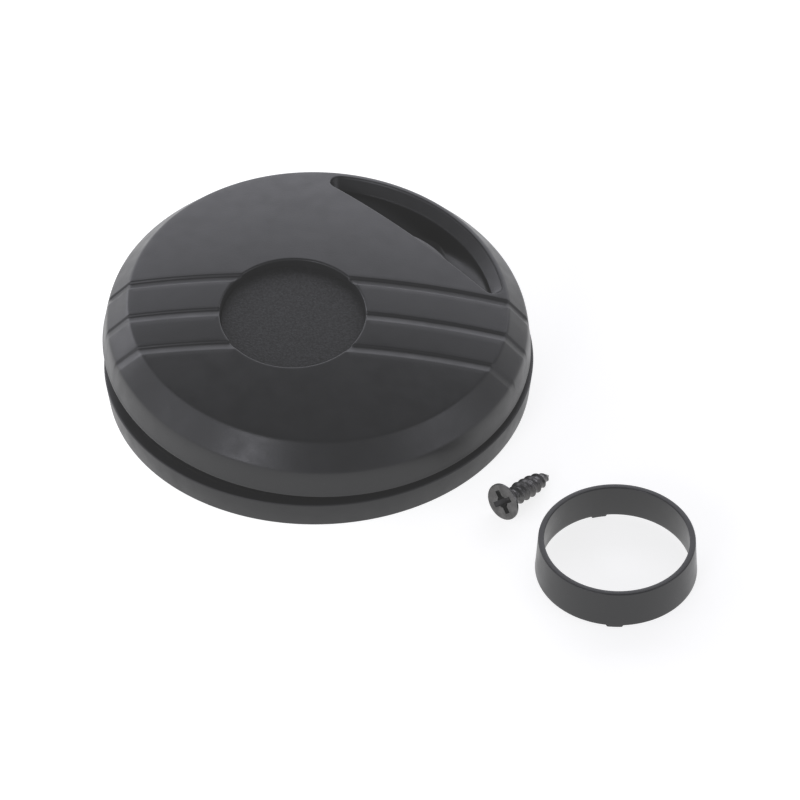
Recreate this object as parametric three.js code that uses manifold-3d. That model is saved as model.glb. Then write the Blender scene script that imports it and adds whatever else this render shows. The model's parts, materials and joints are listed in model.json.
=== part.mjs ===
// Low round cable outlet for a desk top: a skirted base, a domed cover that swivels and rocks on a
// central ball bush, a loose collar ring for the cable bore and a loose countersunk screw.
// Millimetres, +Z up. The origin is the centre of the base's underside; -Y is the front.
import * as THREE from 'three';
import { mergeVertices } from 'three/addons/utils/BufferGeometryUtils.js';
import Module from 'manifold-3d';

const wasm = await Module();
wasm.setup();

const GAP = 0.3; // air left between two pieces that touch
const DEG = Math.PI / 180;
const ROUND = 72; // segments round the large pieces
const SMALL = 20; // segments round the small pieces

// Base
const BASE_R_BOTTOM = 40.0;
const BASE_R_TOP = 40.6;
const BASE_H = 5.55;
const BASE_WALL = 2.2;
const BASE_FLOOR = 2.2;
const HUB_R = 4.5;
const HUB_H = 10.2;
const CABLE_HOLE_R = 12.9;
const LIP_R = 15.8;
const LIP_H = 4.2;
const SPOKE_W = 3.0;
const SPOKE_H = 3.0;
const SPOKE_ANGLES = [90, 210, 330];
const SCREW_HOLE = { x: -19.5, y: 15.5, r: 2.3, bossR: 5.2, bossH: 4.0 };

// Collar seat cut into the base's underside
const SEAT_R_IN = 13.2;
const SEAT_R_OUT = 15.1;
const SEAT_DEPTH = 1.0;

// Underside gasket
const GASKET_R_IN = 33;
const GASKET_R_OUT = 37;
const GASKET_H = 0.9;

// Pivot
const PIVOT_Z = 13.77;
const PIVOT_ABOVE_RIM = 4.4; // the pivot's height over the cover's lower edge
const BALL_R = 3.6;
const BALL_HALF_H = 2.4;
const STUD_R = 1.7;
const STUD_TOP = 17.7;
const CLIP_Z = 16.5;

// Cover, in its own frame: z = 0 is its lower edge
const LEAN = 4.28; // degrees, towards the front right
const LEAN_AXIS = [0.7512, 0.6601, 0];
const YAW = -2.04;
const COVER_R_RIM = 40.37;
const COVER_R_SHOULDER = 39.61;
const SHOULDER_Z = 5.15;
const PLATEAU_R = 35.65;
const DOME_TOP = 14.19;
const DOME_RHO = 148;
const COVER_WALL = 2.0;

// Cover's top features
const GROOVE_Y = [3.01, -5.78, -13.87];
const GROOVE_DEPTH = [0.75, 0.6, 0.5];
const GROOVE_W = 2.3;
const RECESS = { x: -4.6, y: -6.4, r: 13.47, discDrop: 2.4 };
const DISC_T = 0.7;
const PAD_T = 0.25;
const CUP_FLOOR = 1.2;
const CUP_WALL = 1.5;

// Finger pocket, in plan a segment between a chord and an arc: its outline at the top and inside its
// chamfer, both moved along the chord from the cover's centre
const POCKET_AZIMUTH = 48.2;
const POCKET_TOP = { chord: 23.97, r: 34.7, corner: 2.1 };
const POCKET_FOOT = { chord: 24.1, r: 32.6, corner: 0.9 };
const POCKET_SHIFT = -0.35;
const POCKET_EDGE_Z = 10.1;
const POCKET_FOOT_Z = 8.0;
const POCKET_FLOOR_Z = 3.4;
const POCKET_WALL = 1.3;
// Its floor sinks from the tips to the middle: height, share of the foot's length still that low
const POCKET_FLOOR = [[7.7, 1.0], [6.3, 0.7], [POCKET_FLOOR_Z, 0.3]];
const LEDGE = { v: -5.85, half: 5.3, reach: 1.0, top: 11.4 };

// Socket plate under the cover
const PLATE_R = 12.2;
const PLATE_Z = [5.0, 6.4];
const SOCKET_Z = [2.4, 6.4];
const SOCKET_R_OUT = 6.2;
const PLATE_SCREWS = { r: 9.5, angles: [30, 150, 270], shankR: 1.0, headR: 1.9 };

// Collar ring
const RING = { x: 53.93, y: -52.21, rBottom: 14.68, rTop: 14.17, wall: 1.1, top: 7.72, tab: 0.4 };
const RING_TABS = [100.5, 266.4];
const TAB_W = 2.9;

// Loose screw
const SCREW_HEAD = [33.74, -38.15, 3.49];
const SCREW_TIP = [42.58, -28.68, 0.95];
const SCREW_L = 13.2;
const SCREW_HEAD_R = 3.55;
const RECESS_TURN = 3; // how far the cross recess is turned

const material = (color, roughness, metalness = 0) =>
  new THREE.MeshStandardMaterial({ color, roughness, metalness });
const COVER_GREY = () => material(0x4a4c50, 0.62);
const BASE_GREY = () => material(0x45474b, 0.66);
const STEEL = () => material(0x77726b, 0.35, 1);

// ---- solids -------------------------------------------------------------------------------------

function toSolid(geometry) {
  const bare = new THREE.BufferGeometry();
  bare.setAttribute('position', geometry.getAttribute('position').clone());
  if (geometry.index) bare.setIndex(geometry.index.clone());
  const merged = mergeVertices(bare, 1e-4);
  return new wasm.Manifold(
    new wasm.Mesh({
      numProp: 3,
      vertProperties: merged.attributes.position.array,
      triVerts: new Uint32Array(merged.index.array),
    }),
  );
}

function toGeometry(solid) {
  const mesh = solid.getMesh();
  const geometry = new THREE.BufferGeometry();
  geometry.setAttribute('position', new THREE.BufferAttribute(mesh.vertProperties, 3));
  geometry.setIndex(new THREE.BufferAttribute(mesh.triVerts, 1));
  geometry.computeVertexNormals();
  return geometry;
}

// Revolves [r, z] points, listed with the material on the left, about Z.
function revolve(profile, segments = ROUND) {
  const closed = profile[0][0] > 1e-6 || profile.at(-1)[0] > 1e-6;
  const points = profile.map(([r, z]) => new THREE.Vector2(Math.max(r, 0), z));
  if (closed) points.push(points[0].clone());
  return toSolid(new THREE.LatheGeometry(points, segments).rotateX(Math.PI / 2));
}

const cylinder = (r, z0, z1, segments = SMALL) =>
  revolve([[0, z0], [r, z0], [r, z1], [0, z1]], segments);

const tube = (rIn, rOut, z0, z1, segments = ROUND) =>
  revolve([[rIn, z0], [rOut, z0], [rOut, z1], [rIn, z1]], segments);

function box(sx, sy, z0, z1, x = 0, y = 0) {
  return toSolid(new THREE.BoxGeometry(sx, sy, z1 - z0).translate(x, y, (z0 + z1) / 2));
}

// Extrudes a THREE.Shape from z0 to z1.
function prism(shape, z0, z1) {
  const geometry = new THREE.ExtrudeGeometry(shape, { depth: z1 - z0, bevelEnabled: false });
  return toSolid(geometry.translate(0, 0, z0));
}

const turned = (solid, degrees) => solid.rotate([0, 0, degrees]);
const polar = (r, degrees) => [r * Math.cos(degrees * DEG), r * Math.sin(degrees * DEG)];

// ---- base ---------------------------------------------------------------------------------------

function baseDisc() {
  let body = revolve([
    [CABLE_HOLE_R, 0],
    [BASE_R_BOTTOM, 0],
    [BASE_R_TOP, BASE_H],
    [BASE_R_TOP - BASE_WALL, BASE_H],
    [BASE_R_BOTTOM - BASE_WALL, BASE_FLOOR],
    [LIP_R, BASE_FLOOR],
    [LIP_R - 0.4, LIP_H],
    [CABLE_HOLE_R, LIP_H],
  ]);
  body = body.add(cylinder(HUB_R, 0, HUB_H, 32));
  const spokeLength = CABLE_HOLE_R + 1 - 2;
  for (const angle of SPOKE_ANGLES) {
    const spoke = box(spokeLength, SPOKE_W, 0, SPOKE_H, 2 + spokeLength / 2);
    body = body.add(turned(spoke, angle));
  }
  const { x, y, r, bossR, bossH } = SCREW_HOLE;
  body = body.add(cylinder(bossR, 0.5, bossH).translate([x, y, 0]));
  body = body.subtract(cylinder(r, -1, bossH + 1).translate([x, y, 0]));
  const sink = revolve([[0, bossH - 2.1], [1.9, bossH - 2.1], [4.2, bossH + 0.2], [0, bossH + 0.2]], SMALL);
  body = body.subtract(sink.translate([x, y, 0]));
  body = body.subtract(tube(SEAT_R_IN, SEAT_R_OUT, -1, SEAT_DEPTH));
  for (const angle of RING_TABS) {
    const notch = box(SEAT_R_OUT - SEAT_R_IN, TAB_W + 0.8, -1, SEAT_DEPTH + 0.5, (SEAT_R_IN + SEAT_R_OUT) / 2);
    body = body.subtract(turned(notch, angle));
  }
  body = body.subtract(tube(GASKET_R_IN - GAP, GASKET_R_OUT + GAP, -1, GASKET_H + GAP));
  return body.subtract(cylinder(STUD_R + GAP, 1.2, HUB_H + 1));
}

const undersideGasket = () => tube(GASKET_R_IN, GASKET_R_OUT, 0, GASKET_H);

// ---- pivot --------------------------------------------------------------------------------------

// Round pin with a clip groove below its top and a blunt lead-in.
function centreStud() {
  const grooveR = STUD_R - 0.4;
  return revolve([
    [0, 1.5],
    [STUD_R - 0.3, 1.5],
    [STUD_R, 1.8],
    [STUD_R, CLIP_Z - GAP],
    [grooveR, CLIP_Z - GAP],
    [grooveR, CLIP_Z + 0.8],
    [STUD_R, CLIP_Z + 0.8],
    [STUD_R - 0.25, STUD_TOP],
    [0, STUD_TOP],
  ], SMALL);
}

const thrustWasher = () => tube(STUD_R + GAP, 4.2, HUB_H + GAP, HUB_H + 0.87, 32);

// Sleeve with a spherical outside, turning on the stud.
function ballBush() {
  const reach = Math.asin(BALL_HALF_H / BALL_R);
  const arc = [];
  for (let i = 0; i <= 8; i++) {
    const a = -reach + (2 * reach * i) / 8;
    arc.push([BALL_R * Math.cos(a), PIVOT_Z + BALL_R * Math.sin(a)]);
  }
  const bore = STUD_R + GAP;
  return revolve([[bore, PIVOT_Z - BALL_HALF_H], ...arc, [bore, PIVOT_Z + BALL_HALF_H]], 32);
}

// Open retaining clip pushed sideways into the stud's groove.
function retainingClip() {
  const ring = tube(STUD_R - 0.1, 3.3, CLIP_Z, CLIP_Z + 0.5, 28);
  return ring.subtract(box(4, 2.2, CLIP_Z - 1, CLIP_Z + 1, 2.4));
}

// ---- cover --------------------------------------------------------------------------------------

const domeZ = (r) => DOME_TOP - DOME_RHO + Math.sqrt(DOME_RHO ** 2 - r ** 2);
const BEVEL_SLOPE = (domeZ(PLATEAU_R) - SHOULDER_Z) / (PLATEAU_R - COVER_R_SHOULDER);
const surfaceZ = (r) => (r <= PLATEAU_R ? domeZ(r) : domeZ(PLATEAU_R) + BEVEL_SLOPE * (r - PLATEAU_R));

function domeArc(rOuter, drop, steps = 7) {
  const arc = [];
  for (let i = 0; i <= steps; i++) {
    const r = rOuter * (1 - i / steps);
    arc.push([r, domeZ(r) - drop]);
  }
  return arc;
}

// Solid outside form of the cover.
const coverForm = () =>
  revolve([[0, 0], [COVER_R_RIM, 0], [COVER_R_SHOULDER, SHOULDER_Z], ...domeArc(PLATEAU_R, 0)]);

function coverHollow() {
  const rim = COVER_R_RIM - COVER_WALL;
  return revolve([
    [0, -1],
    [rim, -1],
    [rim, 0],
    [COVER_R_SHOULDER - COVER_WALL, SHOULDER_Z - 0.9],
    ...domeArc(PLATEAU_R - 1.3, COVER_WALL),
  ]);
}

// Cutter for one groove: steep on the back side, a long ramp on the front side, following the
// cover's top from side to side and running out through the bevel.
function grooveCutter(yBack, depth) {
  const steps = 40;
  const half = 41.5;
  const rings = [];
  for (let i = 0; i <= steps; i++) {
    const x = -half + (2 * half * i) / steps;
    const z = (y) => surfaceZ(Math.hypot(x, y));
    const yDeep = yBack - 0.3;
    const yFront = yBack - GROOVE_W;
    rings.push([
      [x, yBack + 0.08, z(yBack) + 0.8],
      [x, yDeep, z(yDeep) - depth],
      [x, yFront, z(yFront)],
      [x, yFront - 0.9, z(yFront) + 0.8],
    ]);
  }
  return skin(rings);
}

// Closed solid over a row of rings with the same number of corners, which run clockwise when seen
// from the last ring's side.
function skin(rings) {
  const n = rings[0].length;
  const index = [];
  for (let i = 0; i + 1 < rings.length; i++) {
    for (let k = 0; k < n; k++) {
      const a = i * n + k;
      const b = i * n + ((k + 1) % n);
      index.push(a, b + n, b, a, a + n, b + n);
    }
  }
  const last = (rings.length - 1) * n;
  for (let k = 1; k + 1 < n; k++) {
    index.push(0, k, k + 1);
    index.push(last, last + k + 1, last + k);
  }
  const geometry = new THREE.BufferGeometry();
  geometry.setAttribute('position', new THREE.Float32BufferAttribute(rings.flat(2), 3));
  geometry.setIndex(index);
  return toSolid(geometry);
}

// Round recess square to the dome at its own centre: z = 0 is the dome's surface there.
function inRecessFrame(solid) {
  const toRim = Math.hypot(RECESS.x, RECESS.y);
  const tilt = Math.asin(toRim / DOME_RHO) / DEG;
  const azimuth = Math.atan2(RECESS.y, RECESS.x) / DEG;
  return solid
    .rotate([0, 0, -azimuth])
    .rotate([0, tilt, 0])
    .rotate([0, 0, azimuth])
    .translate([RECESS.x, RECESS.y, domeZ(toRim)]);
}

const CUP_FLOOR_Z = -(RECESS.discDrop + DISC_T + GAP + PAD_T + GAP);

// Outline of the pocket as [x, y] points, before it is turned to its azimuth: an arc and a chord,
// with rounded tips.
function pocketOutline({ chord, r, corner }, grow = 0) {
  const radius = corner + grow;
  const tipX = chord + corner;
  const half = Math.sqrt((r - corner) ** 2 - tipX ** 2);
  const sweep = Math.atan2(half, tipX);
  const points = [];
  const arc = (x, y, size, from, to, steps) => {
    for (let i = 0; i <= steps; i++) {
      const a = from + ((to - from) * i) / steps;
      points.push([x + size * Math.cos(a), POCKET_SHIFT + y + size * Math.sin(a)]);
    }
  };
  arc(0, 0, r + grow, -sweep, sweep, 24);
  arc(tipX, half, radius, sweep + 0.3, Math.PI, 6);
  arc(tipX, -half, radius, -Math.PI, -sweep - 0.3, 6);
  return points;
}

// Cutter for the pocket: a chamfer along the arc, then a floor that sinks towards the middle.
function pocketCutter() {
  const ring = (outline, z, share = 1) =>
    pocketOutline(outline).map(([x, y]) => [x, POCKET_SHIFT + (y - POCKET_SHIFT) * share, z]);
  const rings = [
    ring(POCKET_TOP, DOME_TOP + 2),
    ring(POCKET_TOP, POCKET_EDGE_Z),
    ring(POCKET_FOOT, POCKET_FOOT_Z),
    ...POCKET_FLOOR.map(([z, share]) => ring(POCKET_FOOT, z, share)),
  ];
  return turned(skin(rings), POCKET_AZIMUTH);
}

// Material left round the pocket: a well, wider round the chamfer.
function pocketWell() {
  const block = (outline, z) => {
    const points = pocketOutline(outline, POCKET_WALL).map(([x, y]) => new THREE.Vector2(x, y));
    return prism(new THREE.Shape(points), z, DOME_TOP + 1);
  };
  const well = block(POCKET_FOOT, POCKET_FLOOR_Z - POCKET_WALL);
  return turned(well.add(block(POCKET_TOP, POCKET_FOOT_Z - POCKET_WALL)), POCKET_AZIMUTH);
}

// Shallow curved pad that stands out from the pocket's straight side, its top just below the surface.
function pocketLedge() {
  const { v, half, reach, top } = LEDGE;
  const radius = (half ** 2 + reach ** 2) / (2 * reach);
  const face = POCKET_TOP.chord;
  const spread = Math.asin((half + 0.4) / radius);
  const points = [];
  for (let i = 0; i <= 12; i++) {
    const a = -spread + (2 * spread * i) / 12;
    points.push(new THREE.Vector2(face + reach - radius + radius * Math.cos(a), v + radius * Math.sin(a)));
  }
  points.push(new THREE.Vector2(face - 0.7, v + half), new THREE.Vector2(face - 0.7, v - half));
  return turned(prism(new THREE.Shape(points), POCKET_FLOOR_Z - 0.5, top), POCKET_AZIMUTH);
}

function coverShell() {
  const cup = inRecessFrame(cylinder(RECESS.r + CUP_WALL, CUP_FLOOR_Z - CUP_FLOOR, 4, 64));
  let hollow = coverHollow().subtract(cup).subtract(pocketWell());
  for (const angle of PLATE_SCREWS.angles) {
    const [x, y] = polar(PLATE_SCREWS.r, angle);
    hollow = hollow.subtract(cylinder(2.4, PLATE_Z[1] + GAP, 13).translate([x, y, 0]));
  }
  let body = coverForm().subtract(hollow);
  body = body.subtract(inRecessFrame(cylinder(RECESS.r, CUP_FLOOR_Z, 3, 64)));
  body = body.subtract(pocketCutter()).add(pocketLedge());
  for (const angle of PLATE_SCREWS.angles) {
    const [x, y] = polar(PLATE_SCREWS.r, angle);
    body = body.subtract(cylinder(PLATE_SCREWS.shankR + GAP, 5, 9.2, 12).translate([x, y, 0]));
  }
  GROOVE_Y.forEach((y, i) => {
    body = body.subtract(grooveCutter(y, GROOVE_DEPTH[i]));
  });
  return body;
}

// Flange with a snap seat for the ball bush, screwed to the cover's three bosses.
function socketPlate() {
  const seatR = BALL_R + GAP;
  const seat = [];
  for (let i = 0; i <= 6; i++) {
    const z = SOCKET_Z[1] + ((SOCKET_Z[0] - SOCKET_Z[1]) * i) / 6;
    seat.push([Math.sqrt(seatR ** 2 - (z - PIVOT_ABOVE_RIM) ** 2), z]);
  }
  let body = revolve([
    [SOCKET_R_OUT, SOCKET_Z[0]],
    [SOCKET_R_OUT, PLATE_Z[0]],
    [PLATE_R, PLATE_Z[0]],
    [PLATE_R, PLATE_Z[1]],
    ...seat,
  ], 36);
  for (const angle of PLATE_SCREWS.angles) {
    const [x, y] = polar(PLATE_SCREWS.r, angle);
    body = body.subtract(cylinder(PLATE_SCREWS.shankR + GAP, 0, 9, 12).translate([x, y, 0]));
  }
  return body;
}

function plateScrew(angle) {
  const [x, y] = polar(PLATE_SCREWS.r, angle);
  const { shankR, headR } = PLATE_SCREWS;
  const seatZ = PLATE_Z[0] - GAP;
  const pin = revolve([
    [0, seatZ - 1.1],
    [headR - 0.4, seatZ - 1.1],
    [headR, seatZ - 0.6],
    [headR, seatZ],
    [shankR, seatZ],
    [shankR, 8.3],
    [shankR - 0.5, 8.9],
    [0, 8.9],
  ], 16);
  return pin.subtract(box(2.4, 0.6, 0, seatZ - 0.6)).translate([x, y, 0]);
}

const discPad = () =>
  inRecessFrame(tube(RECESS.r - 4.4, RECESS.r - 1.2, CUP_FLOOR_Z + GAP, CUP_FLOOR_Z + GAP + PAD_T, 48));

function centreDisc() {
  const r = RECESS.r - GAP;
  const top = -RECESS.discDrop;
  return inRecessFrame(revolve([
    [0, top - DISC_T],
    [r, top - DISC_T],
    [r, top - 0.15],
    [r - 0.15, top],
    [0, top],
  ], 64));
}

// ---- loose pieces -------------------------------------------------------------------------------

// Thin tapered ring standing on two flat tabs.
function collarRing() {
  const { rBottom, rTop, wall, top, tab } = RING;
  let body = revolve([
    [rBottom - wall, tab],
    [rBottom, tab],
    [rTop, top - 0.2],
    [rTop - 0.2, top],
    [rTop - wall + 0.15, top],
    [rTop - wall, top - 0.15],
  ], 64);
  for (const angle of RING_TABS) {
    const foot = box(wall * 1.6, TAB_W, 0, tab + 1, rBottom - wall / 2);
    const inWall = revolve([[rBottom - wall, -1], [rBottom, -1], [rBottom, tab + 0.3], [rBottom - wall, tab + 0.3]], 64);
    body = body.add(turned(foot, angle).intersect(inWall));
  }
  return body;
}

// Countersunk self-tapping screw along +Z: head face at z = 0, point at z = length.
function mountingScrew() {
  const crestR = 2.0;
  const rootR = 1.35;
  const profile = [[0, 0], [SCREW_HEAD_R, 0], [SCREW_HEAD_R, 0.35], [rootR + 0.15, 2.4]];
  const crests = 5;
  const pitch = 1.65;
  for (let i = 0; i < crests; i++) {
    const z = 4.1 + i * pitch;
    const r = i < 3 ? crestR : crestR - 0.28 * (i - 2);
    const root = i < 3 ? rootR : rootR - 0.18 * (i - 2);
    profile.push([root, z - 0.65], [r, z - 0.05], [r, z + 0.1], [root, z + 0.65]);
  }
  profile.push([0.7, SCREW_L - 1.2], [0.15, SCREW_L], [0, SCREW_L]);
  const body = revolve(profile, 28);
  const slot = box(4.2, 0.75, -1, 1.3);
  const cross = slot.add(turned(slot, 90)).add(cylinder(0.9, -1, 1.7, 12));
  return turned(body.subtract(cross), RECESS_TURN);
}

// ---- assembly -----------------------------------------------------------------------------------

function piece(name, solid, finish) {
  const mesh = new THREE.Mesh(toGeometry(solid), finish);
  mesh.name = name;
  return mesh;
}

const group = new THREE.Group();
group.name = 'cable_outlet';

group.add(piece('base_disc', baseDisc(), BASE_GREY()));
group.add(piece('underside_gasket', undersideGasket(), material(0x1e1f21, 0.95)));
group.add(piece('centre_stud', centreStud(), STEEL()));
group.add(piece('thrust_washer', thrustWasher(), material(0xd8d4c8, 0.5)));
group.add(piece('ball_bush', ballBush(), material(0xd9d6cc, 0.45)));
group.add(piece('retaining_clip', retainingClip(), STEEL()));

// The cover leans about the pivot, so its group hangs from a group that sits on the pivot.
const rocker = new THREE.Group();
rocker.position.set(0, 0, PIVOT_Z);
rocker.setRotationFromAxisAngle(new THREE.Vector3(...LEAN_AXIS).normalize(), LEAN * DEG);
group.add(rocker);

const cover = new THREE.Group();
cover.position.set(0, 0, -PIVOT_ABOVE_RIM);
cover.rotation.z = YAW * DEG;
rocker.add(cover);

cover.add(piece('cover_shell', coverShell(), COVER_GREY()));
cover.add(piece('socket_plate', socketPlate(), BASE_GREY()));
PLATE_SCREWS.angles.forEach((angle, i) => {
  cover.add(piece('plate_screw_' + (i + 1), plateScrew(angle), STEEL()));
});
cover.add(piece('disc_pad', discPad(), material(0x1b1b1c, 0.9)));
cover.add(piece('centre_disc', centreDisc(), material(0x4d4e51, 0.8)));

const collar = piece('collar_ring', collarRing(), material(0x4b4e54, 0.5));
collar.position.set(RING.x, RING.y, 0);
group.add(collar);

const screw = piece('mounting_screw', mountingScrew(), STEEL());
screw.position.set(...SCREW_HEAD);
const along = new THREE.Vector3(...SCREW_TIP).sub(new THREE.Vector3(...SCREW_HEAD)).normalize();
screw.quaternion.setFromUnitVectors(new THREE.Vector3(0, 0, 1), along);
group.add(screw);

export default group;
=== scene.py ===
"""Low round cable outlet: the looks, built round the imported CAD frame.

Shapes are worked out in millimetres and become metres when a mesh is made.
The cover is a height field over its own plan, so its grooves, recess and pocket have real fillets.
"""
import json
import math

import bmesh
import bpy
import numpy as np
from mathutils import Matrix, Vector
from mathutils.geometry import delaunay_2d_cdt


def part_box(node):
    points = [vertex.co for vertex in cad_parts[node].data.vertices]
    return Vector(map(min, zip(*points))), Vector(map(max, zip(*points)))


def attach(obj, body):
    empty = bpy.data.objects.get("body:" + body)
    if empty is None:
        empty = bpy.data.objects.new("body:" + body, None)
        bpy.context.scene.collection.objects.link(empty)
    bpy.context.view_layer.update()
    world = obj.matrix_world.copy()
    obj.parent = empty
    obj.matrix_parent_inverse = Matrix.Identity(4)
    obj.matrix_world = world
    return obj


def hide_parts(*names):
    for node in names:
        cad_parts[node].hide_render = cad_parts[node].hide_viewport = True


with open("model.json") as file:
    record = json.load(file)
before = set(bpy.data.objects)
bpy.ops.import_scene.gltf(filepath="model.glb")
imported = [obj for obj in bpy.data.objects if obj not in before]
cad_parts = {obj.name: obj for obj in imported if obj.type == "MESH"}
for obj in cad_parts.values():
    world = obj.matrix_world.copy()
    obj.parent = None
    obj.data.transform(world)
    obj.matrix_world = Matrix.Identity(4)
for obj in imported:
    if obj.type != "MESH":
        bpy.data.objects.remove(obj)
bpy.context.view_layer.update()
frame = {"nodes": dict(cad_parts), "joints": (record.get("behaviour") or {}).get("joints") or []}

MM = 0.001
ROUND = 288  # segments round the large pieces
WELD = 1e-7  # points closer than this become one

# Cover, in its own frame: z = 0 is its lower edge (the same driving sizes as the CAD)
PIVOT_ABOVE_RIM = 4.4
YAW = math.radians(-2.04)
RIM_R = 40.37
SHOULDER_R = 39.61
SHOULDER_Z = 5.15
PLATEAU_R = 35.65
DOME_TOP = 14.19
DOME_RHO = 148.0
WALL = 2.0
BEVEL_ROUNDING, SHOULDER_ROUNDING = 0.3, 1.8
RIM_FILLET = 0.25
INNER_R = RIM_R - WALL
CUP_WALL = 1.5

GROOVE_Y = (3.01, -5.78, -13.87)
GROOVE_DEPTH = (0.46, 0.38, 0.34)
# Groove section from its back edge forwards: distance, share of the depth
GROOVE_SECTION = (
    (-0.24, 0.0), (-0.12, 0.03), (-0.02, 0.13), (0.1, 0.48), (0.22, 0.86), (0.32, 0.97), (0.45, 1.0),
    (0.75, 0.93), (1.1, 0.74), (1.45, 0.46), (1.75, 0.18), (1.9, 0.06), (2.05, 0.0),
)

RECESS_X, RECESS_Y, RECESS_R = -4.6, -6.4, 13.47
RECESS_FLOOR = 3.95
RECESS_LIP, RECESS_DRAFT, RECESS_FILLET = 0.42, 0.1, 0.2
DISC_DROP = 2.4
DISC_T = 0.7
DISC_GAP = 0.14
DISC_BORDER = 0.5  # smooth border round the disc's grain

# Finger pocket, a segment of a circle in plan: chord, arc radius and corner radius of its outline at
# the top and inside its chamfer, both moved along the chord from the cover's centre
POCKET_AZIMUTH = math.radians(48.2)
POCKET_TOP = (23.97, 34.7, 2.1)
POCKET_FOOT = (24.1, 32.6, 0.9)
POCKET_SHIFT = -0.35
POCKET_FOOT_Z = 8.0
POCKET_ENDS_Z = 7.75
POCKET_FLOOR_Z = 3.4
POCKET_FLOOR_SHARE = 0.3  # share of the foot's length that is deepest
POCKET_WALL = 1.3
POCKET_LIP, POCKET_DRAFT, POCKET_FILLET = 0.25, 0.06, 0.03
POCKET_EDGE = 0.3  # how far the rounded edge at the chamfer's foot reaches
POCKET_FLOOR_CURVE = 0.8  # below 1 the floor sinks fast at the tips and flattens in the middle
UNDER_STEP = 0.3  # width of the steps on the cover's inside round its cup and well
# Curved ledge on the pocket's straight side: where it is, how far it reaches, how far it lies below
LEDGE_V, LEDGE_HALF, LEDGE_REACH = -5.85, 5.3, 1.0
LEDGE_DROP_RIGHT, LEDGE_DROP_LEFT = 0.8, 0.22
LEDGE_EDGE = 0.15

# Base
BASE_R_BOTTOM, BASE_R_TOP, BASE_H = 40.0, 40.6, 5.55
BASE_WALL, BASE_FLOOR = 2.2, 2.2
HUB_R, HUB_H = 4.5, 10.2
CABLE_HOLE_R, LIP_R, LIP_H = 12.9, 15.8, 4.2
SPOKE_W, SPOKE_H, SPOKE_TAPER = 3.0, 3.0, 0.4
SPOKE_ENDS = (2.5, CABLE_HOLE_R + 0.15)  # inside the hub and inside the tray's rim
SPOKE_SETBACK = 0.1  # above the tray's lower face
SPOKE_ANGLES = (90, 210, 330)
BOSS_X, BOSS_Y, BOSS_R, BOSS_H, BOSS_HOLE_R = -19.5, 15.5, 5.2, 4.0, 2.3
BOSS_SINK, BOSS_SINK_R = 1.8, 4.2  # countersink for the screw's head
SEAT_R_IN, SEAT_R_OUT, SEAT_DEPTH = 13.2, 15.1, 1.0
NOTCH_PLAY, NOTCH_DEPTH = 0.4, 0.5  # room for the collar's tabs in the seat
GASKET_R_IN, GASKET_R_OUT, GASKET_DEPTH = 32.7, 37.3, 1.2
STUD_BORE_R = 2.0

# Collar ring
RING_R_BOTTOM, RING_R_TOP, RING_WALL, RING_TAB_H, RING_TAB_W = 14.68, 14.17, 1.1, 0.4, 2.9
RING_WAIST_Z = 1.2  # above the tabs' steps the wall is plain
TAB_STEP = 0.8  # degrees to each side over which a tab's end rises
RING_TABS = (100.5, 266.4)

# Screw along +Z: head face at z = 0
SCREW_HEAD_R, SCREW_L = 3.55, 13.2
SCREW_ROOT_R, SCREW_CREST_R, SCREW_PITCH = 1.35, 2.0, 1.65
SCREW_CONE_SLOPE, SCREW_NECK_Z = 0.95, 2.6
# Cross recess: length and width of its wings at the head's face and at their foot
CROSS_TOP, CROSS_FOOT, CROSS_DEPTH = (4.9, 1.15), (1.6, 0.6), 2.1
SCREW_RECESS_TURN = math.radians(3)


# ---- mesh helpers -------------------------------------------------------------------------------

def add_object(name, verts, faces, smooth=True):
    """Object from points in millimetres, with shared vertices welded."""
    mesh = bpy.data.meshes.new(name)
    mesh.from_pydata([tuple(c * MM for c in v) for v in verts], [], faces)
    bm = bmesh.new()
    bm.from_mesh(mesh)
    bmesh.ops.remove_doubles(bm, verts=bm.verts, dist=WELD)
    bmesh.ops.recalc_face_normals(bm, faces=bm.faces)
    bm.to_mesh(mesh)
    bm.free()
    for polygon in mesh.polygons:
        polygon.use_smooth = smooth
    obj = bpy.data.objects.new(name, mesh)
    bpy.context.scene.collection.objects.link(obj)
    return obj


def place(obj, matrix):
    """Moves the mesh itself, so that the object stays at the origin."""
    obj.data.transform(matrix)
    obj.data.update()
    return obj


def fillet_profile(corners, steps=5):
    """Polyline through (r, z, radius) corners, each rounded by its own radius. The profile is closed."""
    out = []
    n = len(corners)
    for i, (r, z, radius) in enumerate(corners):
        here = Vector((r, z))
        before = Vector(corners[i - 1][:2]) - here
        after = Vector(corners[(i + 1) % n][:2]) - here
        if radius <= 0:
            out.append(tuple(here))
            continue
        half = before.angle(after) / 2
        cut = min(radius / math.tan(half), 0.49 * before.length, 0.49 * after.length)
        radius = cut * math.tan(half)
        inwards = (before.normalized() + after.normalized()).normalized()
        centre = here + inwards * (radius / math.sin(half))
        a = here + before.normalized() * cut - centre
        b = here + after.normalized() * cut - centre
        turn = a.angle_signed(b)
        for k in range(steps + 1):
            angle = -turn * k / steps
            c, s = math.cos(angle), math.sin(angle)
            out.append((centre.x + a.x * c - a.y * s, centre.y + a.x * s + a.y * c))
    return out


def revolve(name, profile, segments=ROUND):
    """Solid of revolution about Z from a closed (r, z) profile; points on the axis are shared."""
    verts, faces = [], []
    n = len(profile)
    for k in range(segments):
        c, s = math.cos(math.tau * k / segments), math.sin(math.tau * k / segments)
        verts += [(max(r, 0) * c, max(r, 0) * s, z) for r, z in profile]
    for k in range(segments):
        a, b = k * n, ((k + 1) % segments) * n
        for i in range(n):
            j = (i + 1) % n
            ri, rj = profile[i][0], profile[j][0]
            if ri < 1e-9 and rj < 1e-9:
                continue
            if ri < 1e-9:
                faces.append((a + i, a + j, b + j))
            elif rj < 1e-9:
                faces.append((a + i, a + j, b + i))
            else:
                faces.append((a + i, a + j, b + j, b + i))
    return add_object(name, verts, faces)


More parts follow.
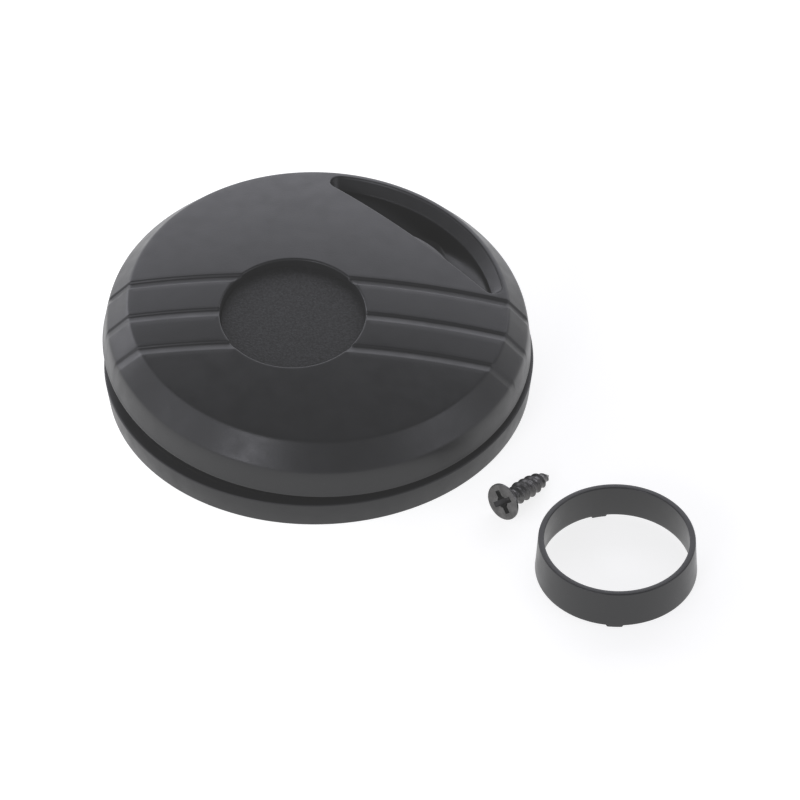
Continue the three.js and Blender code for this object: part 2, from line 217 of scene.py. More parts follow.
def combine(obj, other, operation):
    """Boolean of two objects; the second is used up."""
    modifier = obj.modifiers.new("combine", "BOOLEAN")
    modifier.operation = operation
    modifier.object = other
    modifier.solver = "EXACT"
    bake(obj)
    bpy.data.objects.remove(other)
    return obj


def bake(obj):
    """Applies an object's modifiers."""
    depsgraph = bpy.context.evaluated_depsgraph_get()
    mesh = bpy.data.meshes.new_from_object(obj.evaluated_get(depsgraph))
    obj.modifiers.clear()
    old = obj.data
    obj.data = mesh
    bpy.data.meshes.remove(old)
    return obj


def crease(obj, degrees=35):
    """Smooth shading with hard edges where faces meet at more than the angle."""
    bm = bmesh.new()
    bm.from_mesh(obj.data)
    bmesh.ops.dissolve_degenerate(bm, dist=WELD, edges=bm.edges)
    limit = math.radians(degrees)
    for face in bm.faces:
        face.smooth = True
    for edge in bm.edges:
        edge.smooth = len(edge.link_faces) == 2 and edge.calc_face_angle(0) < limit
    bm.to_mesh(obj.data)
    bm.free()
    return obj


# ---- cover --------------------------------------------------------------------------------------

def dome(r):
    return DOME_TOP - DOME_RHO + np.sqrt(DOME_RHO**2 - np.minimum(r, 60.0) ** 2)


BEVEL_SLOPE = (float(dome(np.array(PLATEAU_R))) - SHOULDER_Z) / (SHOULDER_R - PLATEAU_R)
SIDE_SLOPE = SHOULDER_Z / (RIM_R - SHOULDER_R)


def smooth_min(a, b, k):
    h = np.clip(0.5 + 0.5 * (b - a) / k, 0, 1)
    return b * (1 - h) + a * h - k * h * (1 - h)


def outer_form(r):
    """Height of the plain cover: dome, bevel and side with rounded edges between them."""
    bevel = SHOULDER_Z + BEVEL_SLOPE * (SHOULDER_R - r)
    side = SIDE_SLOPE * (RIM_R - r)
    return smooth_min(smooth_min(dome(r), bevel, BEVEL_ROUNDING), side, SHOULDER_ROUNDING)


def well_depth(t, depth, lip, draft, fillet):
    """Depth of a well's floor at distance t inside its edge, with rounded lip and foot."""
    foot = depth - fillet
    lip_part = lip - np.sqrt(np.clip(lip**2 - (t + lip) ** 2, 0, None))
    wall_part = lip + (foot - lip) * t / draft
    foot_part = foot + np.sqrt(np.clip(fillet**2 - (fillet - (t - draft)) ** 2, 0, None))
    return np.select(
        [t < -lip, t < 0, t < draft, t < draft + fillet], [0 * t, lip_part, wall_part, foot_part], depth
    )


def pocket_uv(x, y):
    """Coordinates across and along the pocket's chord, from the centre of its arc."""
    c, s = math.cos(POCKET_AZIMUTH), math.sin(POCKET_AZIMUTH)
    return x * c + y * s, y * c - x * s - POCKET_SHIFT


def from_uv(u, v):
    c, s = math.cos(POCKET_AZIMUTH), math.sin(POCKET_AZIMUTH)
    v = v + POCKET_SHIFT
    return u * c - v * s, u * s + v * c


def pocket_inside(x, y, shape=POCKET_TOP):
    """Distance inside the pocket's outline without its ledge, negative outside."""
    chord, arc_r, corner = shape
    u, v = pocket_uv(x, y)
    t = np.minimum(u - chord, arc_r - np.hypot(u, v))
    tip_u = chord + corner
    tip_v = math.sqrt((arc_r - corner) ** 2 - tip_u**2)
    du, dv = u - tip_u, np.abs(v) - tip_v
    in_tip = (dv >= 0) & (tip_u * dv - tip_v * du >= 0)
    return np.where(in_tip, corner - np.hypot(du, dv), t)


def ledge_width(v):
    return LEDGE_REACH * np.clip(1 - ((v - LEDGE_V) / LEDGE_HALF) ** 2, 0, None)


def recess_plane(x, y, drop):
    """Height of a flat plane square to the dome at the recess's centre, a drop below it."""
    rc = math.hypot(RECESS_X, RECESS_Y)
    tilt = math.asin(rc / DOME_RHO)
    outward = ((x - RECESS_X) * RECESS_X + (y - RECESS_Y) * RECESS_Y) / rc
    top = float(dome(np.array(rc)))
    return top - drop / math.cos(tilt) - outward * math.tan(tilt)


def groove_cut(x, y):
    """How deep the grooves go below the plain form."""
    r = np.hypot(x, y)
    fade = np.clip((SHOULDER_R + 0.35 - r) / 0.4, 0, 1)
    at, share = zip(*GROOVE_SECTION)
    cut = 0 * x
    for y_back, depth in zip(GROOVE_Y, GROOVE_DEPTH):
        cut = np.maximum(cut, depth * np.interp(y_back - y, at, share, left=0, right=0))
    return cut * fade


def ledge_drop(x, y):
    """Depth of the ledge's top below the surface, rounded down at its free edge."""
    u, v = pocket_uv(x, y)
    ends = (LEDGE_V - LEDGE_HALF, LEDGE_V + LEDGE_HALF)
    drop = np.interp(v, ends, (LEDGE_DROP_RIGHT, LEDGE_DROP_LEFT))
    to_edge = np.clip(POCKET_TOP[0] + ledge_width(v) - u, 0, LEDGE_EDGE)
    return drop + LEDGE_EDGE - np.sqrt(LEDGE_EDGE**2 - (LEDGE_EDGE - to_edge) ** 2)


def cover_top(x, y):
    r = np.hypot(x, y)
    z = outer_form(r) - groove_cut(x, y)
    z = z - well_depth(pocket_inside(x, y), ledge_drop(x, y), POCKET_LIP, POCKET_DRAFT, POCKET_FILLET)
    t = RECESS_R - np.hypot(x - RECESS_X, y - RECESS_Y)
    recess_depth = np.maximum(z - recess_plane(x, y, RECESS_FLOOR), 0.6)
    recess = well_depth(t, recess_depth, RECESS_LIP, RECESS_DRAFT, RECESS_FILLET)
    return np.where(t > -RECESS_LIP, z - recess, z)


def cover_underside(x, y):
    """Inside of the shell: the plain form offset inwards, with the recess's cup and the pocket's well."""
    r = np.hypot(x, y)
    z = np.minimum(outer_form(r + WALL * 0.55) - WALL * 0.9, SIDE_SLOPE * (RIM_R - WALL - r))
    t_cup = RECESS_R + CUP_WALL - np.hypot(x - RECESS_X, y - RECESS_Y)
    cup = recess_plane(x, y, RECESS_FLOOR + 1.2)
    z = np.where(t_cup > 0, np.minimum(z, z + (cup - z) * np.clip(t_cup / UNDER_STEP, 0, 1)), z)
    for shape, bottom in ((POCKET_TOP, POCKET_FOOT_Z), (POCKET_FOOT, POCKET_FLOOR_Z)):
        share = np.clip((pocket_inside(x, y, shape) + POCKET_WALL) / UNDER_STEP, 0, 1)
        z = np.minimum(z, z + (bottom - POCKET_WALL - z) * share)
    return z


def circle(radius, count=ROUND, x=0.0, y=0.0):
    return [
        (x + radius * math.cos(math.tau * k / count), y + radius * math.sin(math.tau * k / count))
        for k in range(count)
    ]


def pocket_outline(shape, grow=0.0, ledge=False):
    """Outline of the pocket, grown outwards; every outline has the same number of points."""
    chord, arc_r, corner = shape
    tip_u = chord + corner
    tip_v = math.sqrt((arc_r - corner) ** 2 - tip_u**2)
    sweep = math.atan2(tip_v, tip_u)

    def arc(u, v, radius, start, end, count):
        angles = np.linspace(start, end, count)
        return [(u + radius * math.cos(a), v + radius * math.sin(a)) for a in angles]

    uv = arc(0, 0, arc_r + grow, -sweep, sweep, 90)
    uv += arc(tip_u, tip_v, corner + grow, sweep, math.pi, 14)[1:]
    for v in np.linspace(tip_v, -tip_v, 110)[1:]:
        uv.append((chord - grow + (float(ledge_width(v)) if ledge else 0.0), v))
    uv += arc(tip_u, -tip_v, corner + grow, -math.pi, -sweep, 14)[1:-1]
    return [from_uv(u, v) for u, v in uv]


class Plan:
    """Plan-view outlines and free points that a height field's triangles have to follow."""

    def __init__(self):
        self.points = []
        self.edges = []

    def loop(self, points, closed=True):
        first = len(self.points)
        self.points += points
        last = len(points) - (0 if closed else 1)
        self.edges += [(first + i, first + (i + 1) % len(points)) for i in range(last)]

    def fill(self, radius, step, keep):
        """Free points on a triangular grid, where keep(x, y) is true."""
        rows = int(radius / (step * 0.866)) + 1
        grid = [
            (i * step + (j % 2) * step / 2, j * step * 0.866)
            for j in range(-rows, rows + 1)
            for i in range(-int(radius / step) - 1, int(radius / step) + 2)
        ]
        xy = np.array(grid)
        ok = (np.hypot(xy[:, 0], xy[:, 1]) < radius) & keep(xy[:, 0], xy[:, 1])
        self.points += [tuple(p) for p in xy[ok]]

    def lift(self, height):
        """(vertices, triangles) of the height field over the plan."""
        points = [Vector(p) for p in self.points]
        flat, _, faces, _, _, _ = delaunay_2d_cdt(points, self.edges, [], 0, 1e-5)
        xy = np.array([tuple(p) for p in flat])
        z = height(xy[:, 0], xy[:, 1])
        return np.column_stack([xy, z]), [list(f) for f in faces]


def boundary(verts, radius):
    """Indices of the vertices on the outer circle, by angle."""
    on = [i for i, v in enumerate(verts) if abs(math.hypot(v[0], v[1]) - radius) < 0.004]
    return sorted(on, key=lambda i: math.atan2(verts[i][1], verts[i][0]) % math.tau)


def groove_lines(plan, limit):
    """Lines along every groove, one at each point of its section."""
    for y_back in GROOVE_Y:
        for at, _ in GROOVE_SECTION:
            y = y_back - at
            half = math.sqrt(limit**2 - y**2)
            plan.loop([(x, y) for x in np.linspace(-half, half, 90)], closed=False)


def clear_of_features(x, y):
    """True away from the outlines, where free points may go."""
    far = np.abs(RECESS_R - np.hypot(x - RECESS_X, y - RECESS_Y)) > 0.9
    far &= pocket_inside(x, y) < -0.9
    for y_back in GROOVE_Y:
        far &= (y - y_back > 0.7) | (y - y_back < -2.6)
    return far


# Radii of the rings that the cover's rounded side and bevel are built on
COVER_OUTER_RINGS = (
    RIM_R, 40.3, 40.2, 40.08, 39.96, 39.85, 39.78, 39.72, 39.66, 39.6, 39.5, 39.38, 39.2,
    38.7, 38.0, 37.2, 36.5, 36.1, 35.95, 35.8, 35.65, 35.5, 35.35,
)


# Rings round the recess, by distance inside its edge, and round the pocket, by distance outside it
RECESS_RINGS = (-0.6, -RECESS_LIP, -0.32, -0.22, -0.13, -0.05, 0, RECESS_DRAFT, 0.14, 0.2, 0.3)
POCKET_RINGS = (0.5, POCKET_LIP, 0.17, 0.11, 0.06, 0.02)


def ledge_lines(plan):
    """Lines along the ledge's root and its free edge, left out where the ledge is too thin for them."""
    lines = [(offset, 0) for offset in (0.0, POCKET_DRAFT)]  # from the root: (offset, share of the width)
    lines += [(-offset, 1) for offset in (0.03, 0.08, LEDGE_EDGE)]
    for offset, share in lines:
        line = []
        for v in np.linspace(LEDGE_V - LEDGE_HALF, LEDGE_V + LEDGE_HALF, 60):
            width = float(ledge_width(v))
            at = share * width + offset
            if 0.0 <= at < width - 0.01 and width > 0.3:
                line.append(from_uv(POCKET_TOP[0] + at, v))
        plan.loop(line, closed=False)


def indices_at(verts, outline):
    """Indices of the vertices that stand on an outline's points."""
    xy = np.array([v[:2] for v in verts])
    return [int(np.argmin(np.hypot(xy[:, 0] - x, xy[:, 1] - y))) for x, y in outline]


def inside_outline(x, y, outline):
    """True at the points inside a closed outline."""
    inside = np.zeros(x.shape, dtype=bool)
    for (x0, y0), (x1, y1) in zip(outline, outline[1:] + outline[:1]):
        crosses = (y0 > y) != (y1 > y)
        if crosses.any():
            inside ^= crosses & (x < x0 + (y - y0) * (x1 - x0) / (y1 - y0))
    return inside


def top_field():
    """Outside of the cover as (vertices, triangles), open at the rim and at the pocket."""
    plan = Plan()
    for radius in COVER_OUTER_RINGS:
        plan.loop(circle(radius))
    groove_lines(plan, SHOULDER_R + 0.3)
    for t in RECESS_RINGS:
        plan.loop(circle(RECESS_R - t, 150, RECESS_X, RECESS_Y))
    for grow in POCKET_RINGS:
        plan.loop(pocket_outline(POCKET_TOP, grow))
    plan.loop(pocket_outline(POCKET_TOP, ledge=True))
    ledge_lines(plan)
    plan.fill(34.9, 1.15, clear_of_features)
    verts, faces = plan.lift(lambda x, y: np.maximum(cover_top(x, y), RIM_FILLET))
    centres = np.array([verts[f].mean(axis=0) for f in faces])
    hole = inside_outline(centres[:, 0], centres[:, 1], pocket_outline(POCKET_TOP, ledge=True))
    return verts, [f for f, inside in zip(faces, hole) if not inside]


def under_field():
    """Inside of the cover as (vertices, triangles), open at the rim."""
    plan = Plan()
    for radius in (INNER_R, 38.2, 38.0, 37.85, 37.7, 37.55, 37.3, 36.6, 35.6, 34.6, 33.9, 33.4):
        plan.loop(circle(radius))
    for t in (0.0, UNDER_STEP):
        plan.loop(circle(RECESS_R + CUP_WALL - t, 96, RECESS_X, RECESS_Y))
        plan.loop(pocket_outline(POCKET_TOP, POCKET_WALL - t))
        plan.loop(pocket_outline(POCKET_FOOT, POCKET_WALL - t))
    plan.fill(33.0, 2.0, lambda x, y: x < RIM_R)
    return plan.lift(lambda x, y: np.maximum(cover_underside(x, y), RIM_FILLET))


def rim_rings():
    """(radius, z) of the rounded lower edge, from the outside to the inside."""
    steps = 5
    turns = [math.pi / 2 * k / steps for k in range(1, steps + 1)]
    out = [(RIM_R - RIM_FILLET * (1 - math.cos(a)), RIM_FILLET * (1 - math.sin(a))) for a in turns]
    back = [(INNER_R + RIM_FILLET * (1 - math.cos(a)), RIM_FILLET * (1 - math.sin(a))) for a in turns]
    return out + back[::-1]


def chamfer_foot(grow):
    """Outline at the chamfer's foot, grown on the arc's side only."""
    chord, arc_r, corner = POCKET_FOOT
    return pocket_outline((chord + grow, arc_r, corner), grow, ledge=True)


def pocket_wall(top_ring):
    """Rings down the chamfer, round its edge, then down to a floor that sinks towards the middle."""
    rings = []
    foot = chamfer_foot(POCKET_EDGE)
    foot_z = POCKET_FOOT_Z + POCKET_EDGE
    for share in np.linspace(0, 1, 9)[1:]:
        rings.append([
            (x0 + share * (x1 - x0), y0 + share * (y1 - y0), z + share * (foot_z - z))
            for (x0, y0, z), (x1, y1) in zip(top_ring, foot)
        ])
    slope = math.pi / 4
    for turn in np.linspace(slope, math.pi / 2, 5)[1:]:
        grow = POCKET_EDGE * (1 - math.sin(turn)) / (1 - math.sin(slope))
        z = POCKET_ENDS_Z + (foot_z - POCKET_ENDS_Z) * math.cos(turn) / math.cos(slope)
        rings.append([(x, y, z) for x, y in chamfer_foot(grow)])
    edge = chamfer_foot(0.0)
    for share in np.linspace(0, 1, 15)[1:]:
        length = 1 - (1 - POCKET_FLOOR_SHARE) * share
        z = POCKET_ENDS_Z - (POCKET_ENDS_Z - POCKET_FLOOR_Z) * share**POCKET_FLOOR_CURVE
        ring = []
        for x, y in edge:
            u, v = pocket_uv(x, y)
            ring.append((*from_uv(u, v * length), z))
        rings.append(ring)
    return rings


def cover_shell():
    """Outside, inside, rim and pocket of the cover, joined into one closed skin."""
    verts, faces = top_field()
    low, low_faces = under_field()
    offset = len(verts)
    all_verts = [tuple(v) for v in verts] + [tuple(v) for v in low]
    all_faces = faces + [[offset + i for i in reversed(f)] for f in low_faces]

    def bridge(first, rings):
        previous = first
        for ring in rings:
            here = list(range(len(all_verts), len(all_verts) + len(ring)))
            all_verts.extend(ring)
            all_faces.extend(strip(previous, here))
            previous = here
        return previous

    rim = [[(x, y, z) for x, y in circle(radius)] for radius, z in rim_rings()]
    lowest = bridge(boundary(verts, RIM_R), rim)
    all_faces += strip(lowest, [offset + i for i in boundary(low, INNER_R)])
    top = indices_at(verts, pocket_outline(POCKET_TOP, ledge=True))
    all_faces.append(bridge(top, pocket_wall([tuple(verts[i]) for i in top])))
    return add_object("cover_shell_skin", all_verts, all_faces)


def strip(a, b):
    """Quads between two closed rings of the same length."""
    n = len(a)
    return [[a[i], a[(i + 1) % n], b[(i + 1) % n], b[i]] for i in range(n)]


# ---- base, ring and screw -----------------------------------------------------------------------

def cylinder(name, radius, z0, z1, round_top=0.0, segments=64):
    profile = fillet_profile([(0, z0, 0), (radius, z0, 0), (radius, z1, round_top), (0, z1, 0)])
    return revolve(name, profile, segments)


def tapered_box(name, low, high, z0, z1, x=0.0):
    """Box along X from z0 to z1 whose length and width go from low to high."""
    verts = []
    corners = ((-1, -1), (1, -1), (1, 1), (-1, 1))
    for (length, width), z in ((low, z0), (high, z1)):
        verts += [(x + sx * length / 2, sy * width / 2, z) for sx, sy in corners]
    sides = [(i, (i + 1) % 4, (i + 1) % 4 + 4, i + 4) for i in range(4)]
    return add_object(name, verts, [(3, 2, 1, 0), (4, 5, 6, 7)] + sides, smooth=False)


def turned(obj, degrees):
    """Turns an object's mesh about Z."""
    return place(obj, Matrix.Rotation(math.radians(degrees), 4, "Z"))


def base_disc():
    """Skirted tray with a rim round the cable hole, three spokes, a hub and a screw boss."""
    profile = fillet_profile([
        (CABLE_HOLE_R, 0, 0.08), (SEAT_R_IN, 0, 0.08), (SEAT_R_IN, SEAT_DEPTH, 0.1),
        (SEAT_R_OUT, SEAT_DEPTH, 0.1), (SEAT_R_OUT, 0, 0.15), (GASKET_R_IN, 0, 0.15),
        (GASKET_R_IN, GASKET_DEPTH, 0.1), (GASKET_R_OUT, GASKET_DEPTH, 0.1), (GASKET_R_OUT, 0, 0.15),
        (BASE_R_BOTTOM, 0, 0.35), (BASE_R_TOP, BASE_H, 0.3), (BASE_R_TOP - BASE_WALL, BASE_H, 0.3),
        (BASE_R_BOTTOM - BASE_WALL, BASE_FLOOR, 0.9), (LIP_R, BASE_FLOOR, 0.5), (LIP_R - 0.4, LIP_H, 0.3),
        (CABLE_HOLE_R, LIP_H, 0.3),
    ])
    obj = revolve("base_disc_tray", profile)
    spoke = SPOKE_ENDS[1] - SPOKE_ENDS[0]
    spoke_x = sum(SPOKE_ENDS) / 2
    for angle in SPOKE_ANGLES:
        arm = tapered_box(
            "spoke", (spoke, SPOKE_W), (spoke, SPOKE_W - SPOKE_TAPER), SPOKE_SETBACK, SPOKE_H, spoke_x
        )
        obj = combine(obj, turned(arm, angle), "UNION")
    obj = combine(obj, cylinder("hub", HUB_R, 0, HUB_H, 0.4), "UNION")
    to_boss = Matrix.Translation((BOSS_X * MM, BOSS_Y * MM, 0))
    obj = combine(obj, place(cylinder("boss", BOSS_R, 0.5, BOSS_H, 0.3), to_boss), "UNION")
    hole = revolve("screw_hole", [
        (0, -1), (BOSS_HOLE_R, -1), (BOSS_HOLE_R, BOSS_H - BOSS_SINK), (BOSS_SINK_R, BOSS_H + 0.2),
        (0, BOSS_H + 0.2),
    ], 64)
    obj = combine(obj, place(hole, to_boss), "DIFFERENCE")
    notch_size = (SEAT_R_OUT - SEAT_R_IN, RING_TAB_W + 2 * NOTCH_PLAY)
    notch_x = (SEAT_R_IN + SEAT_R_OUT) / 2
    for angle in RING_TABS:
        notch = tapered_box("tab_notch", notch_size, notch_size, -1, SEAT_DEPTH + NOTCH_DEPTH, notch_x)
        obj = combine(obj, turned(notch, angle), "DIFFERENCE")
    obj = combine(obj, cylinder("stud_bore", STUD_BORE_R, 1.2, HUB_H + 1), "DIFFERENCE")
    return crease(obj)


def collar_ring(top):
    """Tapered ring with rounded edges on two low tabs, standing on z = 0."""
    half = math.degrees(RING_TAB_W / 2 / RING_R_BOTTOM)
    steps = np.linspace(-TAB_STEP, TAB_STEP, 7)
    angles = set(np.arange(0, 360, 1.5))
    for tab in RING_TABS:
        angles |= {tab + side * (half + step) for side in (-1, 1) for step in steps}
    rise_at = (half - TAB_STEP, half - 0.3, half + 0.3, half + TAB_STEP)
    waist_z = RING_WAIST_Z
    waist_r = float(np.interp(waist_z, (0, top), (RING_R_BOTTOM, RING_R_TOP)))
    verts, faces, rows = [], [], []
    for angle in sorted(angles):
        away = min(abs((angle - tab + 180) % 360 - 180) for tab in RING_TABS)
        lift = RING_TAB_H * float(np.interp(away, rise_at, (0, 0.1, 0.9, 1)))
        profile = fillet_profile([
            (RING_R_BOTTOM - RING_WALL, lift, 0.12), (RING_R_BOTTOM, lift, 0.15),
            (waist_r, waist_z, 0), (RING_R_TOP, top, 0.22),
            (RING_R_TOP - RING_WALL, top, 0.18), (waist_r - RING_WALL, waist_z, 0),
        ])
        c, s = math.cos(math.radians(angle)), math.sin(math.radians(angle))
        rows.append(list(range(len(verts), len(verts) + len(profile))))
        verts += [(r * c, r * s, z) for r, z in profile]
    for k, row in enumerate(rows):
        faces += strip(row, rows[(k + 1) % len(rows)])
    return crease(add_object("collar_ring_moulding", verts, faces))


def screw_radius(z, turn):
    """Radius of the shank at depth z and angle turn (0..1): a core with a helical crest."""
    core = np.interp(z, (2.0, 10.2, 12.4, SCREW_L), (SCREW_ROOT_R, SCREW_ROOT_R, 0.6, 0.06))
    crest = SCREW_CREST_R - SCREW_ROOT_R
    crest *= np.interp(z, (2.7, 3.9, 8.0, 9.4, 12.6), (0.0, 1.0, 1.0, 0.6, 0.25))
    crest *= np.interp(z, (12.2, 12.9), (1.0, 0.0))
    phase = abs((z / SCREW_PITCH - turn) % 1.0 - 0.5)
    return float(core + crest * np.interp(phase, (0.0, 0.06, 0.26), (1.0, 0.92, 0.0)))


def screw_body():
    """Countersunk self-tapping screw: head by revolving, shank with its thread as one surface."""
    around = 56
    cone_r, cone_z = SCREW_HEAD_R - 0.06, 0.44  # where the head's short side meets its cone
    head = [(0.0, 0.0)] + [(r, 0.0) for r in np.linspace(0.5, SCREW_HEAD_R - 0.12, 7)]
    head += [(SCREW_HEAD_R - 0.03, 0.04), (SCREW_HEAD_R, 0.12), (SCREW_HEAD_R, 0.36), (cone_r, cone_z)]
    head += [(r, cone_z + (cone_r - r) * SCREW_CONE_SLOPE) for r in np.linspace(3.2, 1.7, 6)]
    head += [(1.5, 2.45), (1.4, SCREW_NECK_Z)]
    shank = list(np.arange(SCREW_NECK_Z + 0.1, SCREW_L - 0.02, 0.055)) + [SCREW_L]
    verts, faces, rows = [(0.0, 0.0, 0.0)], [], []
    for k in range(around):
        turn = k / around
        c, s = math.cos(math.tau * turn), math.sin(math.tau * turn)
        row = [(r * c, r * s, z) for r, z in head[1:]]
        for z in shank:
            r = screw_radius(z, turn)
            row.append((r * c, r * s, z))
        rows.append(list(range(len(verts), len(verts) + len(row))))
        verts += row
    tip = len(verts)
    verts.append((0.0, 0.0, SCREW_L + 0.05))
    for k, row in enumerate(rows):
        after = rows[(k + 1) % around]
        faces.append((0, after[0], row[0]))
        faces.append((tip, row[-1], after[-1]))
        faces += [(row[i], after[i], after[i + 1], row[i + 1]) for i in range(len(row) - 1)]
    obj = add_object("mounting_screw_threaded", verts, faces)
    for angle in (0, 90):
        wing = tapered_box("wing", CROSS_TOP, CROSS_FOOT, -0.2, CROSS_DEPTH)
        obj = combine(obj, turned(wing, angle), "DIFFERENCE")
    cone_foot = CROSS_DEPTH + 0.1
    centre = revolve("recess_cone", [(0, -0.2), (1.25, -0.2), (0.5, cone_foot), (0, cone_foot)], 32)
    obj = combine(obj, centre, "DIFFERENCE")
    return crease(turned(obj, math.degrees(SCREW_RECESS_TURN)), 30)


def screw_frame():
    """Where the frame's screw lies: its head face's centre, with +Z towards the point."""
    node = frame["nodes"]["mounting_screw"]
    points = np.array([tuple(node.matrix_world @ v.co) for v in node.data.vertices])
    middle = points.mean(axis=0)
    axis = np.linalg.svd(points - middle)[2][0]
    along = (points - middle) @ axis
    across = np.linalg.norm(points - middle - np.outer(along, axis), axis=1)
    if along[np.argmax(across)] > 0:
        axis, along = -axis, -along
    start = Vector(middle + axis * along.min())
    turn = Vector((0, 0, 1)).rotation_difference(Vector(axis)).to_matrix().to_4x4()
    return Matrix.Translation(start) @ turn


rock = next(j for j in frame["joints"] if j["name"] == "cover_rock")
COVER_FRAME = (
    Matrix.Translation(Vector(rock["pos_m"]))
    @ Matrix.Rotation(-math.radians(rock["range_deg"][1]), 4, Vector(rock["axis"]))
    @ Matrix.Translation((0, 0, -PIVOT_ABOVE_RIM * MM))
    @ Matrix.Rotation(YAW, 4, "Z")
)


def recess_frame():
    """Frame of the recess inside the cover: z = 0 is the dome's surface at the recess's centre."""
    rc = math.hypot(RECESS_X, RECESS_Y)
    tilt = math.asin(rc / DOME_RHO)
    around = Vector((-RECESS_Y, RECESS_X, 0))
    top = float(dome(np.array(rc)))
    return Matrix.Translation((RECESS_X * MM, RECESS_Y * MM, top * MM)) @ Matrix.Rotation(tilt, 4, around)


# ---- materials ----------------------------------------------------------------------------------

class Shader:
    """Small wrapper round one material's node tree."""

    def __init__(self, name):
        self.material = bpy.data.materials.new(name)
        self.material.use_nodes = True
        self.tree = self.material.node_tree
        self.bsdf = self.tree.nodes["Principled BSDF"]
        self.position = self.node("ShaderNodeTexCoord").outputs["Object"]

    def node(self, kind, settings=None, **inputs):
        node = self.tree.nodes.new(kind)
        for key, value in (settings or {}).items():
            setattr(node, key, value)
        for key, value in inputs.items():
            self.feed(node.inputs[key.replace("_", " ")], value)
        return node

    def feed(self, socket, value):
        if isinstance(value, bpy.types.NodeSocket):
            self.tree.links.new(value, socket)
        else:
            socket.default_value = value

    def noise(self, scale, detail=2.0, rough=0.5):
        node = self.node("ShaderNodeTexNoise", Scale=scale, Detail=detail, Roughness=rough)
        self.feed(node.inputs["Vector"], self.position)
        return node.outputs["Fac"]

    def math(self, operation, a, b=0.0, c=0.0):
        node = self.node("ShaderNodeMath", {"operation": operation})
        for socket, value in zip(node.inputs, (a, b, c)):
            self.feed(socket, value)
        return node.outputs[0]

    def remap(self, value, low, high, to_low=0.0, to_high=1.0):
        node = self.node("ShaderNodeMapRange", {"clamp": True})
        keys = ("Value", "From Min", "From Max", "To Min", "To Max")
        for key, v in zip(keys, (value, low, high, to_low, to_high)):
            self.feed(node.inputs[key], v)
        return node.outputs[0]

    def mix(self, factor, a, b):
        node = self.node("ShaderNodeMix", {"data_type": "RGBA"})
        self.feed(node.inputs[0], factor)
        self.feed(node.inputs[6], a)
        self.feed(node.inputs[7], b)
        return node.outputs[2]

    def edges(self, radius_mm):
        """1 on edges sharper than the radius, 0 elsewhere."""
        bevel = self.node("ShaderNodeBevel", {"samples": 4}, Radius=radius_mm * MM)
        normal = self.node("ShaderNodeNewGeometry").outputs["Normal"]
        dot = self.node("ShaderNodeVectorMath", {"operation": "DOT_PRODUCT"})
        self.feed(dot.inputs[0], bevel.outputs[0])
        self.feed(dot.inputs[1], normal)
        return self.remap(dot.outputs["Value"], 0.995, 0.9)

    def bump(self, height, distance_mm, strength=1.0):
        node = self.node("ShaderNodeBump", Strength=strength, Distance=distance_mm * MM, Height=height)
        self.feed(self.bsdf.inputs["Normal"], node.outputs[0])

    def done(self, color, roughness, metallic=0.0, specular=0.5):
        self.feed(self.bsdf.inputs["Base Color"], color)
        self.feed(self.bsdf.inputs["Roughness"], roughness)
        self.bsdf.inputs["Metallic"].default_value = metallic
        self.bsdf.inputs["Specular IOR Level"].default_value = specular
        return self.material


def grey(value, tint=(1.0, 1.0, 1.0)):
    """Colour of a given lightness with a slight tint."""
    return (value * tint[0], value * tint[1], value * tint[2], 1.0)


def moulded_plastic(name, value, tint, roughness, specular=0.41, dust=0.5):
    """Fine-textured moulded plastic with mottling, a little dust and lighter colour along its sharp
    edges, convex and concave.
    """
    s = Shader(name)
    mottle = s.remap(s.noise(60, 4), 0.3, 0.7)
    color = s.mix(mottle, grey(value * 0.93, tint), grey(value * 1.07, tint))
    specks = s.remap(s.noise(2600, 1.0, 0.3), 0.74, 0.8)
    patches = s.remap(s.noise(150, 2), 0.5, 0.66)
    color = s.mix(s.math("MULTIPLY", s.math("MULTIPLY", specks, patches), dust), color, grey(value * 4))
    edge = s.edges(0.25)
    color = s.mix(s.math("MULTIPLY", edge, 0.35), color, grey(value * 2.2, tint))
    s.bump(s.noise(2860, 3, 0.6), 0.012)
    wander = s.remap(s.noise(320, 3), 0.3, 0.7, roughness - 0.05, roughness + 0.05)
    return s.done(color, s.math("SUBTRACT", wander, s.math("MULTIPLY", edge, 0.08)), specular=specular)


def grained_plastic(name, value, tint, roughness):
    """Spark-eroded plastic: coarse sparkling grain."""
    s = Shader(name)
    grain = s.noise(2300, 3.0, 0.75)
    cell = s.node("ShaderNodeTexVoronoi", Scale=2600.0)
    s.feed(cell.inputs["Vector"], s.position)
    color = s.mix(s.remap(grain, 0.4, 0.62), grey(value * 0.3, tint), grey(value * 2.4, tint))
    specks = s.remap(s.noise(3400, 1.0, 0.3), 0.72, 0.78)
    color = s.mix(s.math("MULTIPLY", specks, 0.4), color, grey(value * 5, tint))
    s.bump(s.math("ADD", grain, s.math("MULTIPLY", cell.outputs["Distance"], 0.4)), 0.06)
    return s.done(color, s.remap(grain, 0.3, 0.7, roughness + 0.1, roughness - 0.1), specular=0.35)


def metal(name, value, tint, roughness):
    """Darkened metal with faint stains and lighter edges."""
    s = Shader(name)
    stain = s.remap(s.noise(700, 4, 0.6), 0.35, 0.65)
    color = s.mix(stain, grey(value * 0.7, tint), grey(value * 1.2, tint))
    edge = s.edges(0.12)
    color = s.mix(s.math("MULTIPLY", edge, 0.5), color, grey(min(value * 2, 0.9)))
    s.bump(s.noise(3000, 3, 0.6), 0.008)
    wander = s.remap(s.noise(1200, 3), 0.3, 0.7, roughness - 0.08, roughness + 0.1)
    return s.done(color, wander, metallic=1.0)


